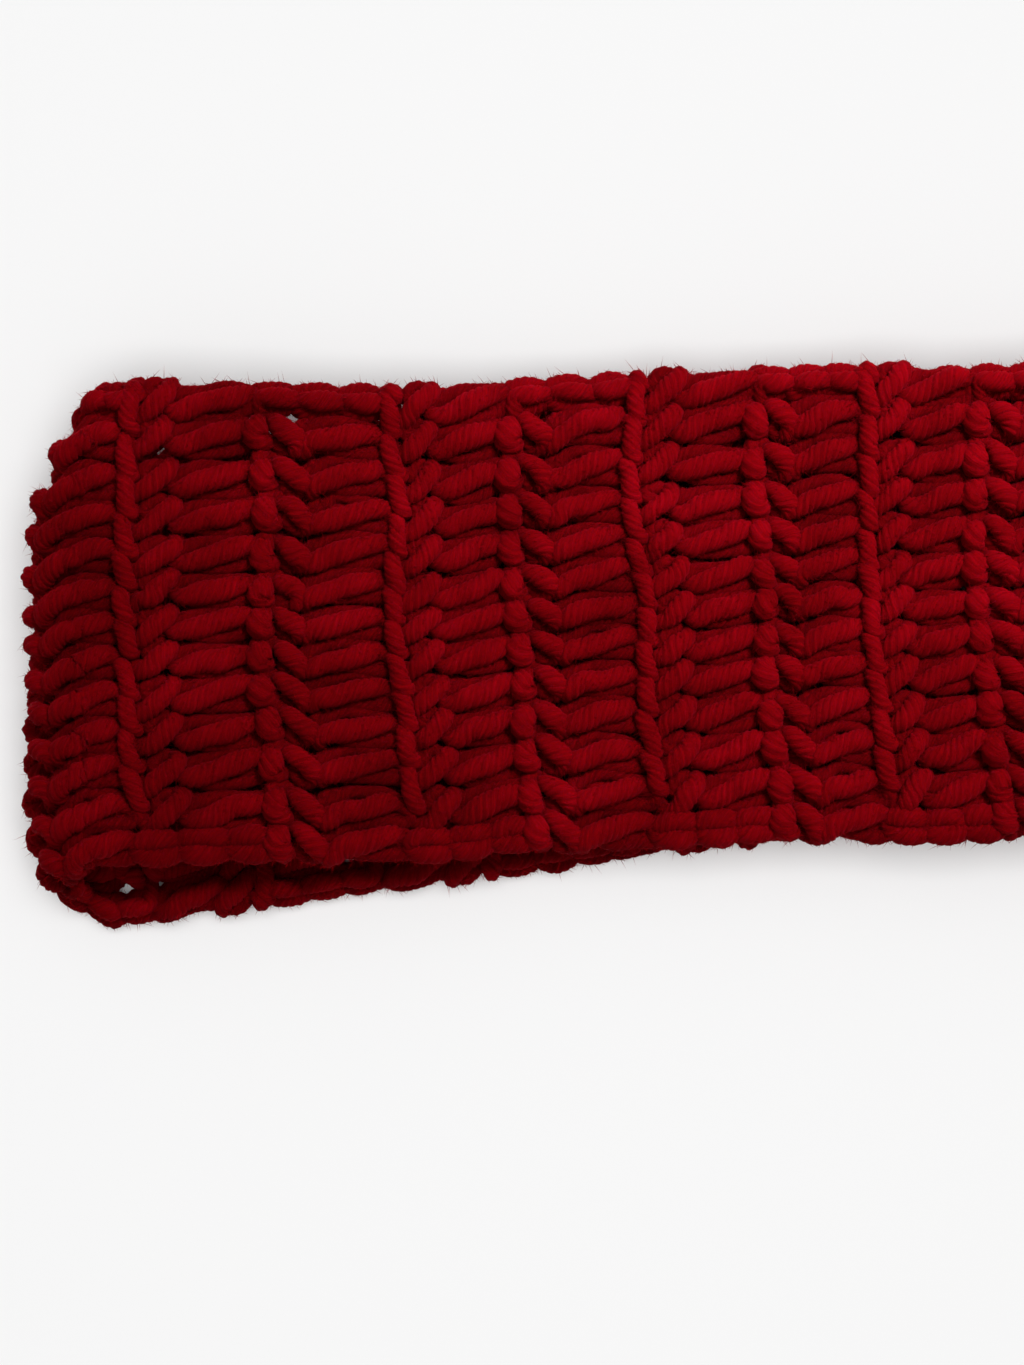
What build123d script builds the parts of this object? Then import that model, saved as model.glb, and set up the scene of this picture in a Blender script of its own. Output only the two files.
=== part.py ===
"""Crocheted headband, laid flat and doubled.

A band of double crochet is worked back and forth in rows, joined into a loop and laid flat,
so that it has an upper layer, an under layer and a soft fold at each end.
The loop's section stands in the XZ plane and the band's width runs along Y.
A place on the loop is its distance round the middle of the fabric: it starts where the left
fold meets the upper layer, and runs right, round the right fold and back along the underside.
The origin is at the middle of the underside.
"""
from build123d import *
from math import cos, pi, sin
import os

os.makedirs("parts", exist_ok=True)

# Yarn and fabric, mm
yarn_diameter = 3.3
fabric_thickness = 7.0
stitch_count = 13
stitch_pitch = 6.75
edge_chamfer = 0.9
flat_spans = 3
fold_spans = 8

# Rows are numbered from the foundation chain, in the order they are worked
row_count = 22
row_height = 21.5
hand_worked_heights = {9: 19.8, 10: 19.8, 11: 22.5, 12: 22.5, 13: 21.6, 14: 24.3, 15: 25.2}
top_chain_height = 4.6

# How the loop lies
left_fold_row = 16
first_ridge = 8.8
fold_pocket = 6.6
middle_gap = 1.2

# How far along Y the band lies: the upper layer bends once, between two straight stretches,
# and the under layer runs askew to its left end, from some way along it
right_shift = 2.0
upper_left_shift = -2.0
bend_start = -51.0
bend_length = 68.0
under_left_shift = -15.5
askew_from = 90.0

# Seam
seam_width = 2.4
seam_stitch_gap = 0.8

band_width = stitch_count * stitch_pitch
half_thickness = fabric_thickness / 2
fold_radius = (fabric_thickness + fold_pocket) / 2
fold_length = pi * fold_radius
foundation_width = yarn_diameter


def height_of(row):
    """Height of one row, measured round the loop."""
    return hand_worked_heights.get(row, row_height)


rows = range(1, row_count + 1)
loop_length = sum(height_of(row) for row in rows) + foundation_width + seam_width
layer_length = loop_length / 2 - fold_length
half_layer = layer_length / 2
under_start = layer_length + fold_length
under_z = half_thickness
upper_z = under_z + 2 * fold_radius
middle_sag = fold_pocket - middle_gap


def sag_at(x):
    """How far the upper layer has sunk towards the under layer."""
    return middle_sag * (1 - (x / half_layer) ** 2) ** 2


def sag_slope(x):
    return -4 * middle_sag * (1 - (x / half_layer) ** 2) * x / half_layer**2


def loop_point(place, height):
    """Point of the loop's section, height above the middle of the fabric, outwards."""
    place = place % loop_length
    if place < layer_length:
        x = place - half_layer
        slope = -sag_slope(x)
        return (x - height * slope, upper_z - sag_at(x) + height)
    if place < under_start:
        turn = (place - layer_length) / fold_radius
        reach = fold_radius + height
        return (half_layer + reach * sin(turn), under_z + fold_radius + reach * cos(turn))
    if place < under_start + layer_length:
        return (half_layer - (place - under_start), under_z - height)
    turn = (place - under_start - layer_length) / fold_radius
    reach = fold_radius + height
    return (-half_layer - reach * sin(turn), under_z + fold_radius - reach * cos(turn))


def blend(first, last, share):
    return first + (last - first) * min(1.0, max(0.0, share))


def shift_at(place):
    """How far along Y the band lies at a place on the loop."""
    place = place % loop_length
    if place < layer_length:
        x = place - half_layer
        return blend(upper_left_shift, right_shift, (x - bend_start) / bend_length)
    if place < under_start:
        return right_shift
    if place < under_start + layer_length:
        askew = (place - under_start - askew_from) / (layer_length - askew_from)
        return blend(right_shift, under_left_shift, askew)
    turned = (place - under_start - layer_length) / fold_length
    return blend(under_left_shift, upper_left_shift, turned)


def face_points(start, end, height):
    """Points along one face of a stretch of fabric, closer together where it bends."""
    spans = fold_spans if bends(start, end) else flat_spans
    return [loop_point(start + (end - start) * step / spans, height) for step in range(spans + 1)]


def bends(start, end):
    """Whether a stretch lies round a fold."""
    right = start < under_start and end > layer_length
    left = end > under_start + layer_length or start < 0
    return right or left


def stitch_block(start, end, width):
    """One stitch's share of a strip, rounded off along its outer and inner edges."""
    outer = face_points(start, end, half_thickness)
    inner = face_points(start, end, -half_thickness)
    with BuildPart() as block:
        with BuildSketch(Plane.XZ):
            with BuildLine():
                Spline(*outer)
                Line(outer[-1], inner[-1])
                Spline(*reversed(inner))
                Line(inner[0], outer[0])
            make_face()
        extrude(amount=width / 2, both=True)
        across = block.edges().filter_by(Axis.Y)
        along = block.edges().filter_by(GeomType.BSPLINE)
        chamfer(across + along, edge_chamfer)
    return block.part


def repeat_across(stitch, shift):
    """A full width of one stitch, side by side."""
    with BuildPart() as strip:
        with Locations((0, shift, 0)):
            with GridLocations(0, stitch_pitch, 1, stitch_count):
                add(stitch)
    return strip.part


# Where each row starts, round the loop, and how far along Y it lies
foundation_edge = first_ridge + sum(height_of(row) for row in rows if row < left_fold_row)
foundation_end = foundation_edge + foundation_width
seam_end = foundation_end + seam_width
row_feet = {row: foundation_edge - sum(height_of(lower) for lower in range(1, row)) for row in rows}
row_shifts = {row: shift_at(row_feet[row] - height_of(row) / 2) for row in rows}
band_y = -(min(row_shifts.values()) + max(row_shifts.values())) / 2

# Each row: a strip of posts, closed along its far side by its own top chain
for row in rows:
    row_top = row_feet[row] - height_of(row)
    chain_foot = row_top + top_chain_height
    with BuildPart() as stitch:
        add(stitch_block(chain_foot, row_feet[row], stitch_pitch))
        add(stitch_block(row_top, chain_foot, stitch_pitch))
    with BuildPart() as crochet_row:
        add(repeat_across(stitch.part, band_y + row_shifts[row]))
    crochet_row.part.label = f"row_{row:02d}"
    export_step(crochet_row.part, f"parts/row_{row:02d}.step")

# The chain that the first row is worked into
foundation_link = stitch_block(foundation_edge, foundation_end, stitch_pitch)
with BuildPart() as foundation_chain:
    add(repeat_across(foundation_link, band_y + shift_at(foundation_edge)))
foundation_chain.part.label = "foundation_chain"
export_step(foundation_chain.part, "parts/foundation_chain.step")

# Whip stitches that close the loop, one for each stitch of the last row
seam_stitch = stitch_block(foundation_end, seam_end, stitch_pitch - seam_stitch_gap)
with BuildPart() as joining_seam:
    add(repeat_across(seam_stitch, band_y + shift_at(seam_end)))
joining_seam.part.label = "joining_seam"
export_step(joining_seam.part, "parts/joining_seam.step")

print("band", round(band_width, 1), "wide and", round(loop_length, 1), "round the loop")
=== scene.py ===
"""Looks of the crocheted headband.

Every row of the band is one strand of plied yarn, led through its stitches as a hook leads it.
A stitch is drawn once, as a list of points that the yarn passes, and repeated along each row.
The rows are then laid round the loop that the CAD model gives, and each strand becomes a mesh
with its plies and its fuzz.
"""
import bpy
import math
import numpy as np
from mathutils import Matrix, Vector


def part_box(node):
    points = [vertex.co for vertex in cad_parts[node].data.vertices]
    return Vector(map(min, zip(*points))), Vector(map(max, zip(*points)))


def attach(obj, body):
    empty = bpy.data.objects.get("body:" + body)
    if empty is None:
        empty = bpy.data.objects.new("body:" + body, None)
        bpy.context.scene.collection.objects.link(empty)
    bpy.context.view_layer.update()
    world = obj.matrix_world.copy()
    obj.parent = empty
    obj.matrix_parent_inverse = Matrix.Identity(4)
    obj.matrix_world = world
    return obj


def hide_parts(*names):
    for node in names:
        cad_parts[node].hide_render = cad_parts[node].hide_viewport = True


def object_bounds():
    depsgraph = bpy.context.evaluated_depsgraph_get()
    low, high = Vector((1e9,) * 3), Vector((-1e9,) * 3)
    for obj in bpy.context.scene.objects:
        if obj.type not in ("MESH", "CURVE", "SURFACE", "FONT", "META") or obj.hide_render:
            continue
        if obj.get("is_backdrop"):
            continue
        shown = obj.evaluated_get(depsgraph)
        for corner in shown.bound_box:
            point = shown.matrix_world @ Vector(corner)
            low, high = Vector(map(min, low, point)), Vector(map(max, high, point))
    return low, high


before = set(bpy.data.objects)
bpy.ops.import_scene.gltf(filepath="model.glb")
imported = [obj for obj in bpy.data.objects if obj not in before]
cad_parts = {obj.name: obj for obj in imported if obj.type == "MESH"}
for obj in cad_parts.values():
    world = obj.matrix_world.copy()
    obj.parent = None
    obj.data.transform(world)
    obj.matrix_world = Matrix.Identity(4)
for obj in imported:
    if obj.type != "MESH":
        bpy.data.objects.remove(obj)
cad_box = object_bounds()

MM = 0.001
ROWS = 22
COLUMNS = 13            # a turning chain and twelve stitches
LEFT_FOLD_ROW = 16
RIGHT_FOLD_ROW = 5

# Yarn, mm
YARN_RADIUS = 1.62
PLIES = 5
PLY_DEPTH = 0.075       # share of the radius, up and down
PLY_LAY = 6.6           # length of one full twist
PLY_ROUNDNESS = 0.8
PLY_BALANCE = 1.4       # keeps the mean radius near YARN_RADIUS
PLY_UNEVENNESS = 0.05
TWIST_DRIFT = 0.5
TWIST_DRIFT_LENGTH = 9.0
RING_POINTS = 20
RING_STEP = 0.6

# How the yarn's thickness varies along it: share of the radius, and length in mm
LOFT_WAVES = ((0.055, 2.3), (0.03, 0.9))

# The double crochet: points that the yarn passes, in working order.
# Along the row in stitches, up the row as a share of its height, towards the front in mm,
# and how thick the yarn is there.
DOUBLE_CROCHET = [
    (-0.44, 1.015, -0.9, 0.9),    # back leg of the chain at the top
    (-0.47, 0.955, 0.0, 0.9),     # over to the front
    (-0.38, 0.885, 0.9, 0.98),    # the wrap, slanting across the front
    (-0.22, 0.82, 1.7, 1.12),
    (0.00, 0.745, 1.95, 1.18),
    (0.22, 0.675, 1.6, 1.1),
    (0.38, 0.65, 0.2, 0.9),       # round to the back
    (0.34, 0.66, -1.0, 0.92),
    (0.22, 0.625, -1.75, 1.16),   # long slant down the back
    (0.09, 0.52, -1.95, 1.24),
    (-0.07, 0.36, -1.9, 1.24),
    (-0.19, 0.21, -1.5, 1.16),
    (-0.22, 0.10, -0.6, 0.9),     # through the foot to the front
    (0.04, 0.00, 0.2, 0.8),
    (0.24, 0.05, 0.0, 0.85),      # first leg, up inside the post
    (0.27, 0.20, 0.1, 0.85),
    (0.23, 0.40, 0.1, 0.85),
    (0.14, 0.57, 0.1, 0.9),
    (0.00, 0.66, 0.2, 0.9),       # over the top inside the wrap
    (-0.22, 0.65, 0.5, 0.92),
    (-0.27, 0.575, 1.3, 1.1),     # second leg, down the front
    (-0.14, 0.45, 1.75, 1.22),
    (0.00, 0.30, 1.85, 1.26),
    (0.13, 0.17, 1.5, 1.16),
    (0.18, 0.06, 0.4, 0.88),      # through the foot to the back
    (0.10, -0.01, -0.6, 0.8),
    (-0.16, 0.05, -0.4, 0.8),     # up inside, against the next post
    (-0.38, 0.16, 0.0, 0.74),
    (-0.46, 0.32, 0.1, 0.74),
    (-0.43, 0.48, 0.0, 0.74),
    (-0.20, 0.60, 0.0, 0.8),      # through both loops
    (-0.04, 0.72, 0.1, 0.85),
    (0.06, 0.85, 0.3, 0.9),
    (0.30, 0.84, 0.2, 0.8),
    (0.42, 0.765, 0.1, 0.78),
    (0.34, 0.72, -0.9, 0.88),
    (0.18, 0.70, -1.8, 1.12),     # short leg at the back
    (0.00, 0.75, -2.1, 1.2),
    (-0.19, 0.82, -1.9, 1.14),
    (-0.30, 0.87, -0.8, 0.9),
    (-0.33, 0.925, 0.3, 0.78),    # under, out of sight
    (-0.27, 0.985, -0.8, 0.95),   # bump behind the top
    (-0.13, 1.01, -1.9, 1.42),
    (0.02, 1.02, -2.1, 1.52),
    (0.17, 1.01, -1.9, 1.42),
    (0.26, 0.96, -0.9, 0.95),
    (0.14, 0.935, 0.5, 0.85),     # to the front, inside the last loop
    (0.10, 0.965, 1.4, 0.92),     # front leg of the top chain
    (0.34, 0.99, 2.1, 1.0),
    (0.66, 1.0, 2.25, 1.0),
    (0.94, 1.015, 1.8, 0.94),
    (1.08, 1.03, 0.5, 0.85),      # its head, and back
    (0.84, 1.025, -0.7, 0.9),
]

# How the strand leaves a row's last stitch, for the next row's turning chain
ROW_END_FROM = -5       # the stitch's own points end here
ROW_END = [
    (0.28, 0.98, 1.7, 0.95),
    (0.36, 0.99, 0.8, 0.9),
    (0.24, 1.0, -0.2, 0.85),
    (0.02, 1.0, 0.0, 0.85),
]

# One chain stitch: up the chain in links, to the side in stitches, towards the front in mm
CHAIN_LINK = [
    (0.00, 0.00, -0.2, 0.9),
    (0.22, -0.14, 0.8, 1.1),
    (0.58, -0.22, 1.2, 1.25),
    (1.00, -0.16, 1.0, 1.15),
    (1.20, 0.00, 0.5, 0.95),
    (1.00, 0.16, 0.9, 1.15),
    (0.58, 0.22, 1.2, 1.25),
    (0.22, 0.13, 0.8, 1.1),
    (0.02, 0.03, -0.3, 0.9),
    (0.25, 0.00, -1.4, 1.05),
    (0.60, 0.00, -1.8, 1.15),
    (0.88, 0.00, -1.2, 0.95),
]
TURNING_LINKS = 3
CHAIN_PLACE = 0.62      # stitches from the band's edge

# The last stitch of a row leans in, stitches; the loose yarn by the band's edges is loftier, by
# this share in the first and second stitch from an edge
EDGE_TUCK = 0.16
EDGE_LOFTS = {1: 0.05, 2: 0.025}

# Hand-worked unevenness: points along the row in stitches, up it as a share of its height, and
# towards the front in mm; then a whole stitch's lean and shift
CHAIN_JITTER = (0.02, 0.004, 0.1)
STITCH_JITTER = (0.034, 0.009, 0.15)
THICKNESS_JITTER = 0.02
STITCH_LEAN = 0.1
STITCH_SHIFT = 0.03
STITCH_RISE = 0.006

# Whip stitches of the seam, mm from their middle
SEAM_REACH = 3.4
SEAM_HEIGHT = 2.2
SEAM_THICKNESS = 0.9        # of the yarn, as in the stitches
SEAM_WIDTH_SHARE = 0.97     # the seam stops just short of the band's edge
SEAM_SLANT = 0.1            # stitches
SEAM_POINTS = 8             # of each whip stitch
SEAM_JITTER = (0.15, 0.1, 0.08)
FOUNDATION_JITTER = (0.12, 0.1, 0.1)

# Seeds of the stitches' unevenness and of the strands' own, one set for each strand
ROW_SEED = 100
FOUNDATION_SEED = 90
SEAM_SEED = 91
ROW_YARN_SEED = 1000
ROW_YARN_SEED_STEP = 20
FOUNDATION_YARN_SEED = 700
SEAM_YARN_SEED = 720

# Below this height, mm, the surface under the band presses the yarn flat
REST_HEIGHT = 1.6

# Fuzz, mm
FUZZ_LENGTH = 1.0
FUZZ_SPREAD = 3.0           # shape of the spread of lengths: the higher, the more even
FUZZ_LONGEST = 3.0          # times the mean length
FUZZ_RADIUS = 0.065
FUZZ_PER_MM = 14
FUZZ_ROOT = 0.92            # share of the yarn's radius at which a fibre starts
FUZZ_CORNERS = 3            # round a fibre's root; its tip is one point more

# Which way a fibre points: least and most outwards, then mean and spread along and round the yarn
FUZZ_RISE = (0.1, 1.0)
FUZZ_FORWARD = (0.5, 0.6)
FUZZ_ROUND = (0.5, 0.5)

# Painted shade, multiplied into the yarn's colour: yarn this near to the middle of the fabric is
# painted as wholly in the shade of its neighbours, and yarn this far from it not at all, mm
PAINTED_SHADE_FROM = 0.3
PAINTED_SHADE_TO = 1.5
PAINTED_SHADE_ATTRIBUTE = "exposure"

# Fibres run along the plies, this many times longer than they are wide
GRAIN = "grain"
GRAIN_STRETCH = 7.0

# Colour of the yarn, from patch to patch, and what fibres and painted shade multiply it by
YARN_DARK = (0.12, 0.0001, 0.0014)
YARN_RED = (0.16, 0.0002, 0.0021)
YARN_BRIGHT = (0.205, 0.0004, 0.0032)
FIBRE_DARK = 0.68
FIBRE_BRIGHT = 1.2
FIBRE_SHOW = 0.8
PAINTED_DEEP_SHADE = 0.66

# Noise scales: two per metre over the band, and two per mm in the strand
PATCH_SCALE = 60.0
ROUGHNESS_SCALE = 1500.0
FIBRE_SCALE = 2.4
RELIEF_SCALE = 3.6
RELIEF_DEPTH = 0.0003       # metres

# The camera looks straight down, mm; the band runs out of the picture at the right
CAMERA_HEIGHT = 435.0
CAMERA_LENS = 63.7
CAMERA_SENSOR = 36.0
CAMERA_X = -31.8
CAMERA_Y = -6.1


# ---- the loop, measured on the CAD model, mm ----

def box_mm(node):
    low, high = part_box(node)
    return np.array(low) / MM, np.array(high) / MM


def row_name(row):
    return f"row_{row:02d}"


box_low, box_high = (np.array(corner) / MM for corner in cad_box)
flat_low, flat_high = box_mm(row_name(2))
FABRIC = flat_high[2] - flat_low[2]
BAND_WIDTH = flat_high[1] - flat_low[1]
PITCH = BAND_WIDTH / COLUMNS
FOLD_RADIUS = (box_high[2] - box_low[2] - FABRIC) / 2
FOLD_LENGTH = math.pi * FOLD_RADIUS
HALF_LAYER = (box_high[0] - box_low[0]) / 2 - FOLD_RADIUS - FABRIC / 2
LAYER_LENGTH = 2 * HALF_LAYER
UNDER_START = LAYER_LENGTH + FOLD_LENGTH
LOOP_LENGTH = 2 * UNDER_START
UNDER_Z = FABRIC / 2
UPPER_Z = UNDER_Z + 2 * FOLD_RADIUS
MIDDLE_GAP = min(box_mm(row_name(row))[0][2] for row in (11, 12)) - FABRIC
SAG = 2 * FOLD_RADIUS - FABRIC - MIDDLE_GAP


def foot_and_top(row):
    """Where a flat row starts and ends, round the loop from the left fold's upper end."""
    low, high = box_mm(row_name(row))
    if low[2] > UNDER_Z:
        return high[0] + HALF_LAYER, low[0] + HALF_LAYER
    return UNDER_START + HALF_LAYER - low[0], UNDER_START + HALF_LAYER - high[0]


def find_ridges():
    """Worked distance of each row's top from the first row's foot; a fold's rows share evenly."""
    start = foot_and_top(1)[0]
    known = {0: 0.0}
    for row in range(1, ROWS + 1):
        if row in (RIGHT_FOLD_ROW, RIGHT_FOLD_ROW + 1, LEFT_FOLD_ROW, LEFT_FOLD_ROW + 1):
            continue
        known[row] = (start - foot_and_top(row)[1]) % LOOP_LENGTH
    return start, np.interp(range(ROWS + 1), list(known), list(known.values()))


FIRST_FOOT, RIDGES = find_ridges()
SEAM_WIDTH = box_mm("joining_seam")[1][0] - box_mm("joining_seam")[0][0]
FOUNDATION_WIDTH = box_mm("foundation_chain")[1][0] - box_mm("foundation_chain")[0][0]


def find_centres():
    """The band's middle across Y, against the place round the loop."""
    places = []
    centres = []
    for row in range(1, ROWS + 1):
        low, high = box_mm(row_name(row))
        middle = FIRST_FOOT - (RIDGES[row - 1] + RIDGES[row]) / 2
        places.append(middle % LOOP_LENGTH)
        centres.append((low[1] + high[1]) / 2)
    order = np.argsort(places)
    return np.array(places)[order], np.array(centres)[order]


CENTRE_PLACES, CENTRES = find_centres()


def smooth_noise(seed, *inputs, waves=4, slowest=0.4, fastest=1.5):
    """A soft wave of about unit height that depends on a few inputs."""
    rng = np.random.default_rng(seed)
    total = 0.0
    for _ in range(waves):
        phase = rng.uniform(0, 2 * math.pi)
        for value in inputs:
            phase = phase + value * rng.uniform(slowest, fastest) * rng.choice((-1, 1))
        total = total + np.sin(phase)
    return total / math.sqrt(waves)


def sag_at(x):
    return SAG * (1 - np.clip(x / HALF_LAYER, -1, 1) ** 2) ** 2


def sag_slope(x):
    ratio = np.clip(x / HALF_LAYER, -1, 1)
    return -4 * SAG * (1 - ratio**2) * ratio / HALF_LAYER


def section(place, height):
    """Point of the loop's section in XZ, height above the middle of the fabric, outwards."""
    x_upper = place - HALF_LAYER
    upper = (x_upper + height * sag_slope(x_upper), UPPER_Z - sag_at(x_upper) + height)
    turn = (place - LAYER_LENGTH) / FOLD_RADIUS
    reach = FOLD_RADIUS + height
    right = (HALF_LAYER + reach * np.sin(turn), FOLD_RADIUS + UNDER_Z + reach * np.cos(turn))
    under = (HALF_LAYER - (place - UNDER_START), UNDER_Z - height)
    back = (place - UNDER_START - LAYER_LENGTH) / FOLD_RADIUS
    left = (-HALF_LAYER - reach * np.sin(back), FOLD_RADIUS + UNDER_Z - reach * np.cos(back))
    where = [place < LAYER_LENGTH, place < UNDER_START, place < UNDER_START + LAYER_LENGTH]
    x = np.select(where, [upper[0], right[0], under[0]], left[0])
    z = np.select(where, [upper[1], right[1], under[1]], left[1])
    return x, z


# How the worked fabric strays from a plain loop, mm unless said otherwise
EDGE_SPREAD = 0.11              # share by which stitches are wider at the edges
EDGE_REACH = 1.03               # share of the CAD band's width
LEAN_TOP = -1.6                 # rows lean along the loop at the upper and lower edge
LEAN_BOTTOM = 6.0
LEAN_POWER = 2.3
LEAN_LEFT = 0.75                # share of the lower lean at the left, and what the right has more
LEAN_RIGHTWARDS = 0.4
UNDER_LEAN = 0.3                # share of the lean on the under layer
LEAN_REACH = 1.4                # the higher, the further from the middle the whole lean lasts
ROW_WAVES = ((0.45, 3, 14, 9), (0.35, 4, 30, 5))    # size, seed, lengths along and across
EDGE_WAVE = (0.5, 5, 11, 40)
HEIGHT_WAVE = (0.35, 6, 13, 12)
CORNER_LENGTH = 30.0
CORNER_POWER = 1.5
TOP_EDGE = 0.3                  # shares of the width that the corners' pulls reach over
TOP_LIFT_EDGE = 0.6
LOW_EDGE = 0.2
PAST_EDGE = 1.3                 # the most that a pull grows to in yarn beyond the band's edge
PAST_LIFT = 1.2
PAST_LEAN = 1.1
UPPER_CLEARANCE = 2.0           # yarn this far above the under layer's middle is upper yarn
LEFT_CORNER_PULL = 12.0
LEFT_CORNER_LIFT = 3.0
LOW_CORNER_PULL = 5.0
RIGHT_CORNER_PULL = 5.0
FOLD_LOFT = 0.35                # share by which the fabric is loftier round the folds


def wave(shape, along, across):
    """Unevenness, mm, at places along and across the fabric."""
    size, seed, along_length, across_length = shape
    return size * smooth_noise(seed, along / along_length, across / across_length)


def lay(worked, across, height):
    """World points, mm, of places in the fabric: worked distance, across the band, outwards."""
    place = (FIRST_FOOT - worked) % LOOP_LENGTH
    upper = np.clip(1 - np.abs(place - HALF_LAYER) / LAYER_LENGTH, 0, 1)
    down = 0.5 - across / BAND_WIDTH
    rightwards = LEAN_LEFT + LEAN_RIGHTWARDS * place / LAYER_LENGTH
    lean = LEAN_TOP + LEAN_BOTTOM * np.clip(down, 0, PAST_LEAN) ** LEAN_POWER * rightwards
    unevenness = sum(wave(shape, place, across) for shape in ROW_WAVES)
    place = (place + lean * np.clip(upper * LEAN_REACH, UNDER_LEAN, 1) + unevenness) % LOOP_LENGTH
    turned = np.clip(((place - LAYER_LENGTH) % UNDER_START) / FOLD_LENGTH, 0, 1)
    x, z = section(place, height * (1 + FOLD_LOFT * np.sin(math.pi * turned)))
    centre = np.interp(place, CENTRE_PLACES, CENTRES, period=LOOP_LENGTH)
    y = across + centre + wave(EDGE_WAVE, place, across)
    top_edge = np.clip(1 - down / TOP_EDGE, 0, PAST_EDGE)
    lifted = np.clip(1 - down / TOP_LIFT_EDGE, 0, PAST_LIFT)
    low_edge = np.clip((down - 1 + LOW_EDGE) / LOW_EDGE, 0, PAST_EDGE)
    left = np.clip(1 - (x - box_low[0]) / CORNER_LENGTH, 0, 1) ** CORNER_POWER
    right = np.clip(1 - (box_high[0] - x) / CORNER_LENGTH, 0, 1) ** CORNER_POWER
    y = y + left * LEFT_CORNER_LIFT * lifted**2
    x = x + left * (LEFT_CORNER_PULL * top_edge**2 + LOW_CORNER_PULL * low_edge**2)
    x = x - right * RIGHT_CORNER_PULL * (top_edge**2 + low_edge**2)
    z = z + np.where(z > UNDER_Z + UPPER_CLEARANCE, wave(HEIGHT_WAVE, x, across), 0)
    return np.stack([x, y, z], axis=-1)


# ---- strands ----

def smooth_path(points, step=0.25, rounding=0.55, span_parts=24):
    """An evenly stepped curve through rows of (a, b, c, thickness), with its corners eased."""
    points = np.asarray(points, dtype=float)
    before = 2 * points[0] - points[1]
    after = 2 * points[-1] - points[-2]
    full = np.vstack([before, points, after])
    spans = []
    parts = np.linspace(0, 1, span_parts, endpoint=False)[:, None]
    for i in range(1, len(full) - 2):
        p0, p1, p2, p3 = full[i - 1:i + 3]
        bend = 2 * p1 + (p2 - p0) * parts + (2 * p0 - 5 * p1 + 4 * p2 - p3) * parts**2
        spans.append((bend + (3 * p1 - p0 - 3 * p2 + p3) * parts**3) / 2)
    curve = np.vstack(spans + [points[-1:]])
    curve = resample(curve, step)
    width = max(1, int(round(rounding / step)))
    reach = 3 * width
    kernel = np.exp(-0.5 * (np.arange(-reach, reach + 1) / width) ** 2)
    kernel /= kernel.sum()
    padded = np.pad(curve, ((reach, reach), (0, 0)), mode="edge")
    return np.stack([np.convolve(padded[:, c], kernel, "valid") for c in range(4)], axis=1)


def resample(curve, step):
    """The same curve at even steps along its first three columns."""
    lengths = np.linalg.norm(np.diff(curve[:, :3], axis=0), axis=1)
    reach = np.concatenate([[0], np.cumsum(lengths)])
    count = max(4, int(round(reach[-1] / step)) + 1)
    stops = np.linspace(0, reach[-1], count)
    return np.stack([np.interp(stops, reach, curve[:, c]) for c in range(curve.shape[1])], axis=1)


def frames_along(curve, any_direction=(0.3, 0.5, 0.8)):
    """Tangents of a polyline, and two twist-free vectors across it."""
    tangents = np.gradient(curve, axis=0)
    tangents /= np.linalg.norm(tangents, axis=1)[:, None]
    sides = np.empty_like(curve)
    side = np.cross(tangents[0], any_direction)
    side /= np.linalg.norm(side)
    for i, tangent in enumerate(tangents):
        side = side - tangent * side.dot(tangent)
        side /= math.sqrt(side.dot(side))
        sides[i] = side
    return tangents, sides, np.cross(tangents, sides)


def yarn_mesh(curve, thickness, seed):
    """A plied strand along a world curve: vertices in mm, quads, end faces and grain.

    The grain is each vertex's place in the strand itself, and it turns with the plies.
    """
    rng = np.random.default_rng(seed)
    _, sides, ups = frames_along(curve)
    steps = len(curve)
    reach = np.arange(steps) * RING_STEP
    drift = TWIST_DRIFT * smooth_noise(seed + 1, reach / TWIST_DRIFT_LENGTH)
    twist = -2 * math.pi * reach / PLY_LAY + drift
    angles = np.linspace(0, 2 * math.pi, RING_POINTS, endpoint=False)
    lobes = np.abs(np.cos(angles * PLIES / 2)) ** PLY_ROUNDNESS
    ply_loft = 1 + PLY_UNEVENNESS * rng.standard_normal(PLIES)
    ply_of = np.round(angles * PLIES / (2 * math.pi)).astype(int) % PLIES
    profile = 1 - PLY_DEPTH * PLY_BALANCE + PLY_DEPTH * 2 * lobes * ply_loft[ply_of]
    loft = 1
    for number, (share, length) in enumerate(LOFT_WAVES):
        loft = loft + share * smooth_noise(seed + 2 + number, reach / length)
    radius = YARN_RADIUS * thickness * loft
    turn = angles[None, :] + twist[:, None]
    ring = radius[:, None] * profile[None, :]
    vertices = (curve[:, None, :] + (ring * np.cos(turn))[..., None] * sides[:, None, :]
                + (ring * np.sin(turn))[..., None] * ups[:, None, :])
    index = np.arange(steps * RING_POINTS).reshape(steps, RING_POINTS)
    right = np.roll(index, -1, axis=1)
    quads = np.stack([index[:-1], right[:-1], right[1:], index[1:]], axis=-1).reshape(-1, 4)
    ends = [index[0][::-1], index[-1]]
    grain = np.stack([np.broadcast_to(reach[:, None] / GRAIN_STRETCH, ring.shape),
                      radius[:, None] * np.cos(angles), radius[:, None] * np.sin(angles)], axis=-1)
    return vertices.reshape(-1, 3), quads, ends, grain.reshape(-1, 3)


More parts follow.
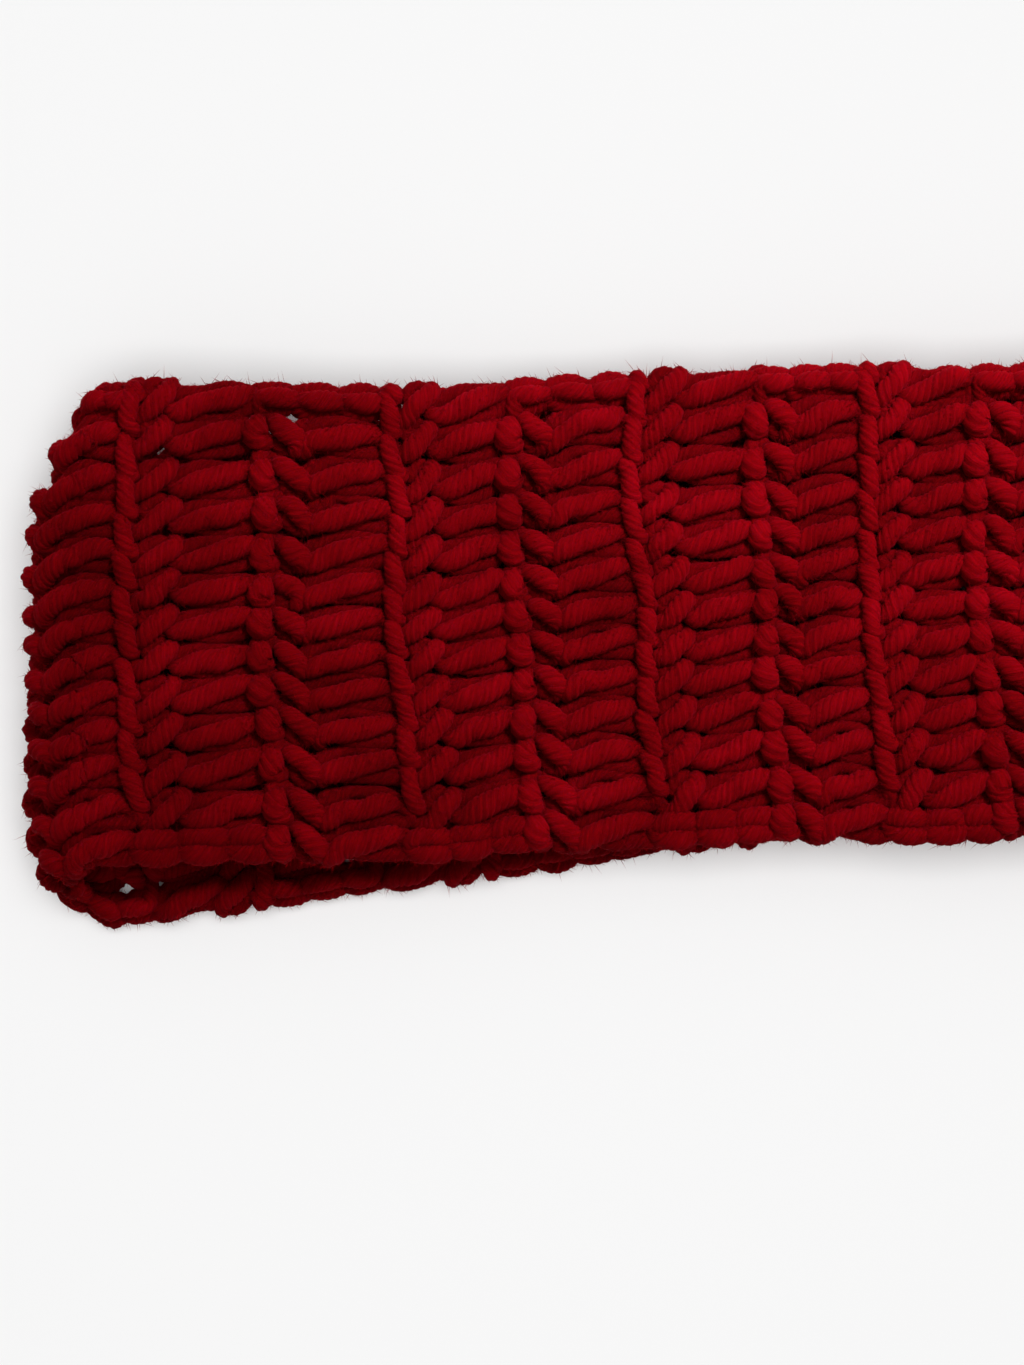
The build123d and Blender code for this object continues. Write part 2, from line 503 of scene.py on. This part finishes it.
def fuzz_mesh(curve, thickness, seed, count):
    """Short fibres raised from a strand, each a thin closed spike: vertices in mm, faces, rings."""
    rng = np.random.default_rng(seed)
    tangents, sides, ups = frames_along(curve)
    at = rng.integers(2, len(curve) - 2, count)
    angle = rng.uniform(0, 2 * math.pi, count)
    out = np.cos(angle)[:, None] * sides[at] + np.sin(angle)[:, None] * ups[at]
    around = np.cross(tangents[at], out)
    rise = rng.uniform(*FUZZ_RISE, (count, 1))
    forward = rng.normal(*FUZZ_FORWARD, (count, 1))
    heading = out * rise + tangents[at] * forward - around * rng.normal(*FUZZ_ROUND, (count, 1))
    heading /= np.linalg.norm(heading, axis=1)[:, None]
    length = rng.gamma(FUZZ_SPREAD, FUZZ_LENGTH / FUZZ_SPREAD, (count, 1))
    length = np.minimum(length, FUZZ_LONGEST * FUZZ_LENGTH)
    root = curve[at] + tangents[at] * rng.uniform(0, RING_STEP, (count, 1))
    root = root + out * YARN_RADIUS * thickness[at][:, None] * FUZZ_ROOT
    across = np.cross(heading, around)
    across /= np.linalg.norm(across, axis=1)[:, None] + 1e-9
    normal = np.cross(heading, across)
    corners = []
    for corner in range(FUZZ_CORNERS):
        turn = corner * 2 * math.pi / FUZZ_CORNERS
        corners.append(root + FUZZ_RADIUS * (math.cos(turn) * across + math.sin(turn) * normal))
    vertices = np.stack(corners + [root + heading * length], axis=1).reshape(-1, 3)
    base = (np.arange(count) * (FUZZ_CORNERS + 1))[:, None]
    faces = np.vstack([base + [2, 1, 0], base + [0, 1, 3], base + [1, 2, 3], base + [2, 0, 3]])
    return vertices, faces, at


# ---- the rows ----

def jitter(rng, points, amount):
    """Points with a small hand-worked unevenness."""
    points = np.array(points, dtype=float)
    points[:, :3] += rng.normal(0, 1, (len(points), 3)) * amount
    points[:, 3] *= 1 + rng.normal(0, THICKNESS_JITTER, len(points))
    return points


def row_path(row):
    """The yarn's course through one row, mm: along the row, up from its foot, to its front."""
    rng = np.random.default_rng(ROW_SEED + row)
    rise = RIDGES[row] - RIDGES[row - 1]
    points = []
    for link in range(TURNING_LINKS):
        chain = np.array(CHAIN_LINK)
        up = (link + chain[:, 0]) / TURNING_LINKS
        turned = np.stack([CHAIN_PLACE + chain[:, 1], up, chain[:, 2], chain[:, 3]], axis=1)
        points.append(jitter(rng, turned, CHAIN_JITTER))
    for column in range(1, COLUMNS):
        stitch = jitter(rng, DOUBLE_CROCHET, STITCH_JITTER)
        lean = rng.normal(0, STITCH_LEAN)
        stitch[:, 0] += column + 0.5 + rng.normal(0, STITCH_SHIFT) + lean * (0.5 - stitch[:, 1])
        stitch[:, 1] += rng.normal(0, STITCH_RISE)
        stitch[:, 3] *= 1 + EDGE_LOFTS.get(min(column, COLUMNS - column), 0)
        if column == 1:
            stitch = stitch[1:]
        if column == COLUMNS - 1:
            stitch[:, 0] -= EDGE_TUCK
        points.append(stitch)
    last = points.pop()
    ending = np.array(ROW_END)
    ending[:, 0] += COLUMNS - 0.5 - EDGE_TUCK
    points += [last[:ROW_END_FROM], ending]
    return smooth_path(np.vstack(points) * (PITCH, rise, 1, 1))


def lay_row(row, path):
    """World curve of a row's course; each row is worked back the other way, turned over."""
    facing = 1 if row % 2 else -1
    worked = RIDGES[row - 1] + path[:, 1]
    return lay(worked, facing * spread(path[:, 0]), facing * path[:, 2])


def spread(along):
    """Place across the band from its middle: stitches sit closer there than at the edges."""
    share = along / BAND_WIDTH
    shift = EDGE_SPREAD / (2 * math.pi) * np.sin(2 * math.pi * share)
    return BAND_WIDTH * EDGE_REACH * (share - 0.5 + shift)


def foundation_path():
    """The foundation chain, worked from the row's far side, mm in the first row's terms."""
    rng = np.random.default_rng(FOUNDATION_SEED)
    points = []
    for link in range(COLUMNS):
        chain = np.array(CHAIN_LINK)
        along = (link + chain[:, 0]) * PITCH
        up = -FOUNDATION_WIDTH / 2 + chain[:, 1] * PITCH
        links = np.stack([along, up, chain[:, 2], chain[:, 3]], axis=1)
        points.append(jitter(rng, links, FOUNDATION_JITTER))
    return smooth_path(np.vstack(points))


def seam_path():
    """Whip stitches over the last row's top and the foundation chain, mm, as the above."""
    rng = np.random.default_rng(SEAM_SEED)
    middle = -FOUNDATION_WIDTH - SEAM_WIDTH / 2
    turns = np.linspace(0, COLUMNS, COLUMNS * SEAM_POINTS + 1)
    angle = turns * 2 * math.pi
    along = (turns + SEAM_SLANT * np.sin(angle)) * PITCH * SEAM_WIDTH_SHARE
    up = middle + SEAM_REACH * np.cos(angle)
    front = SEAM_HEIGHT * np.sin(angle)
    points = np.stack([along, up, front, np.full(len(turns), SEAM_THICKNESS)], axis=1)
    return smooth_path(jitter(rng, points, SEAM_JITTER))


def settle(vertices):
    """Presses flat, in place, the yarn that would sink into the surface under the band."""
    low = vertices[:, 2] < REST_HEIGHT
    vertices[low, 2] = REST_HEIGHT * np.exp(vertices[low, 2] / REST_HEIGHT - 1)


def add_strand(name, nodes, curve, path, seed):
    """One strand of yarn with its fuzz, as an object that replaces its CAD nodes."""
    laid = resample(np.hstack([curve, path[:, 2:]]), RING_STEP)
    curve, thickness = laid[:, :3], laid[:, 4]
    # Painted shade: yarn near the fabric's middle gets its colour darkened in the material, not by
    # the lamps
    unshaded_share = np.clip((np.abs(laid[:, 3]) - PAINTED_SHADE_FROM) / (PAINTED_SHADE_TO - PAINTED_SHADE_FROM), 0, 1)
    vertices, quads, ends, grain = yarn_mesh(curve, thickness, seed)
    exposure = np.repeat(unshaded_share, RING_POINTS)
    faces = quads.tolist() + [end.tolist() for end in ends]
    hairs = int(len(curve) * RING_STEP * FUZZ_PER_MM)
    hair_vertices, hair_faces, rings = fuzz_mesh(curve, thickness, seed + 7, hairs)
    faces += (hair_faces + len(vertices)).tolist()
    vertices = np.vstack([vertices, hair_vertices])
    each = FUZZ_CORNERS + 1
    exposure = np.concatenate([exposure, np.repeat(unshaded_share[rings], each)])
    grain = np.vstack([grain, np.repeat(grain[rings * RING_POINTS], each, axis=0)])
    settle(vertices)
    mesh = bpy.data.meshes.new(name)
    mesh.from_pydata((vertices * MM).tolist(), [], faces)
    mesh.shade_smooth()
    mesh.attributes.new(PAINTED_SHADE_ATTRIBUTE, "FLOAT", "POINT").data.foreach_set("value", exposure)
    mesh.attributes.new(GRAIN, "FLOAT_VECTOR", "POINT").data.foreach_set("vector", grain.ravel())
    mesh.materials.append(yarn_material())
    piece = bpy.data.objects.new(name, mesh)
    bpy.context.scene.collection.objects.link(piece)
    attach(piece, "root")
    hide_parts(*nodes)
    return piece


# ---- material ----

def yarn_material():
    """Deep red yarn: fibres along the plies, uneven colour, a soft sheen, painted shade between
    strands.
    """
    name = "red_yarn"
    if name in bpy.data.materials:
        return bpy.data.materials[name]
    material = bpy.data.materials.new(name)
    material.use_nodes = True
    nodes = material.node_tree.nodes
    link = material.node_tree.links.new
    shader = nodes["Principled BSDF"]
    place = nodes.new("ShaderNodeTexCoord").outputs["Object"]

    grain = nodes.new("ShaderNodeAttribute")
    grain.attribute_name = GRAIN

    def noise(scale, detail=3.0, place=place):
        texture = nodes.new("ShaderNodeTexNoise")
        texture.inputs["Scale"].default_value = scale
        texture.inputs["Detail"].default_value = detail
        link(place, texture.inputs["Vector"])
        return texture.outputs["Fac"]

    def ramp(value, stops):
        mapper = nodes.new("ShaderNodeValToRGB")
        for element, (position, colour) in zip(mapper.color_ramp.elements, (stops[0], stops[-1])):
            element.position = position
            element.color = (*colour, 1)
        for position, colour in stops[1:-1]:
            mapper.color_ramp.elements.new(position).color = (*colour, 1)
        link(value, mapper.inputs["Fac"])
        return mapper.outputs["Color"]

    def multiply(first, second, factor):
        mix = nodes.new("ShaderNodeMix")
        mix.data_type = "RGBA"
        mix.blend_type = "MULTIPLY"
        mix.inputs["Factor"].default_value = factor
        link(first, mix.inputs["A"])
        link(second, mix.inputs["B"])
        return mix.outputs["Result"]

    patches = noise(PATCH_SCALE)
    broad = ramp(patches, [(0.3, YARN_DARK), (0.5, YARN_RED), (0.72, YARN_BRIGHT)])
    streaks = noise(FIBRE_SCALE, 4.0, grain.outputs["Vector"])
    fibre = ramp(streaks, [(0.34, [FIBRE_DARK] * 3), (0.66, [FIBRE_BRIGHT] * 3)])
    # Painted shade: the colour is darkened where the yarn lies deep between its neighbours
    exposure = nodes.new("ShaderNodeAttribute")
    exposure.attribute_name = PAINTED_SHADE_ATTRIBUTE
    painted_shade = ramp(exposure.outputs["Fac"], [(0.0, [PAINTED_DEEP_SHADE] * 3), (1.0, [1.0] * 3)])
    colour = multiply(multiply(broad, fibre, FIBRE_SHOW), painted_shade, 1.0)
    link(colour, shader.inputs["Base Color"])
    rough = nodes.new("ShaderNodeMapRange")
    rough.inputs["To Min"].default_value = 0.62
    rough.inputs["To Max"].default_value = 0.95
    link(noise(ROUGHNESS_SCALE), rough.inputs["Value"])
    link(rough.outputs["Result"], shader.inputs["Roughness"])
    bump = nodes.new("ShaderNodeBump")
    bump.inputs["Strength"].default_value = 0.7
    bump.inputs["Distance"].default_value = RELIEF_DEPTH
    link(noise(RELIEF_SCALE, 5.0, grain.outputs["Vector"]), bump.inputs["Height"])
    link(bump.outputs["Normal"], shader.inputs["Normal"])
    shader.inputs["Subsurface Weight"].default_value = 0.5
    shader.inputs["Subsurface Radius"].default_value = (1.0, 0.02, 0.05)
    shader.inputs["Subsurface Scale"].default_value = 0.0016
    shader.inputs["Sheen Weight"].default_value = 0.1
    shader.inputs["Sheen Roughness"].default_value = 0.5
    shader.inputs["Sheen Tint"].default_value = (1.0, 0.03, 0.07, 1)
    shader.inputs["Specular IOR Level"].default_value = 0.01
    return material


# ---- build ----

def lay_upright(path):
    """World curve of a course that is worked in the first row's terms."""
    return lay(path[:, 1], path[:, 0] - BAND_WIDTH / 2, path[:, 2])


strands = []
for row in range(1, ROWS + 1):
    path = row_path(row)
    seed = ROW_YARN_SEED + ROW_YARN_SEED_STEP * row
    strand = add_strand(f"yarn_row_{row:02d}", [row_name(row)], lay_row(row, path), path, seed)
    strands.append(strand)

path = foundation_path()
curve = lay_upright(path)
strand = add_strand("yarn_foundation", ["foundation_chain"], curve, path, FOUNDATION_YARN_SEED)
strands.append(strand)
path = seam_path()
curve = lay_upright(path)
strand = add_strand("yarn_seam", ["joining_seam"], curve, path, SEAM_YARN_SEED)
strands.append(strand)


# ---- floor, light and camera ----

# Metres
FLOOR_HALF_SIZE = 1.2
FLOOR_GAP = 0.0002
FLOOR_COLOUR = (0.88, 0.88, 0.88, 1)

# Brightness of the world: what it lights with, and what the camera sees past the floor's edge
SOFT_LIGHT = 0.32
BEHIND_FLOOR = 0.8


def add_floor():
    """A matt pale floor just under the band."""
    size = FLOOR_HALF_SIZE
    mesh = bpy.data.meshes.new("floor")
    corners = [(-size, -size, 0), (size, -size, 0), (size, size, 0), (-size, size, 0)]
    mesh.from_pydata(corners, [], [(0, 1, 2, 3)])
    material = bpy.data.materials.new("pale_floor")
    material.use_nodes = True
    shader = material.node_tree.nodes["Principled BSDF"]
    shader.inputs["Base Color"].default_value = FLOOR_COLOUR
    shader.inputs["Roughness"].default_value = 0.9
    mesh.materials.append(material)
    floor = bpy.data.objects.new("floor", mesh)
    floor.location.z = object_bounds()[0][2] - FLOOR_GAP
    bpy.context.scene.collection.objects.link(floor)
    floor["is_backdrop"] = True
    return floor


def add_light(name, place, target, size, power, spread=180):
    """A square lamp at a place, turned to a target: metres, watts, and degrees of spread."""
    light = bpy.data.lights.new(name, "AREA")
    light.shape = "SQUARE"
    light.size = size
    light.energy = power
    light.spread = math.radians(spread)
    lamp = bpy.data.objects.new(name, light)
    lamp.location = place
    lamp.rotation_euler = (Vector(target) - Vector(place)).to_track_quat("-Z", "Y").to_euler()
    bpy.context.scene.collection.objects.link(lamp)
    return lamp


def light_only(lamp, pieces):
    """Lets a lamp light just these pieces."""
    lit = bpy.data.collections.new("lit_by_" + lamp.name)
    for piece in pieces:
        lit.objects.link(piece)
    lamp.light_linking.receiver_collection = lit


def add_world():
    """Soft white light from all round."""
    world = bpy.data.worlds.new("studio")
    world.use_nodes = True
    nodes = world.node_tree.nodes
    link = world.node_tree.links.new
    background = nodes["Background"]
    background.inputs["Color"].default_value = (1, 1, 1, 1)
    ray = nodes.new("ShaderNodeLightPath")
    strength = nodes.new("ShaderNodeMapRange")
    strength.inputs["To Min"].default_value = SOFT_LIGHT
    strength.inputs["To Max"].default_value = BEHIND_FLOOR
    link(ray.outputs["Is Camera Ray"], strength.inputs["Value"])
    link(strength.outputs["Result"], background.inputs["Strength"])
    bpy.context.scene.world = world


def add_camera():
    """A long lens over the band's left part."""
    camera = bpy.data.cameras.new("camera")
    camera.lens = CAMERA_LENS
    camera.sensor_width = CAMERA_SENSOR
    camera.clip_start = 0.01
    eye = bpy.data.objects.new("camera", camera)
    eye.location = (CAMERA_X * MM, CAMERA_Y * MM, (box_high[2] + CAMERA_HEIGHT) * MM)
    bpy.context.scene.collection.objects.link(eye)
    bpy.context.scene.camera = eye


floor = add_floor()
key = add_light("key", (0.25, 0.35, 0.65), (0.05, 0.11, 0), size=0.2, power=0.6, spread=40)
light_only(key, strands)
add_light("fill", (0.0, 0.3, 0.8), (0, 0, 0), size=0.9, power=0.45)
backdrop = add_light("backdrop", (0, 0, 1.2), (0, 0, 0), size=1.2, power=13.5)
light_only(backdrop, [floor])
bpy.context.scene.view_settings.view_transform = "Standard"
add_world()
add_camera()
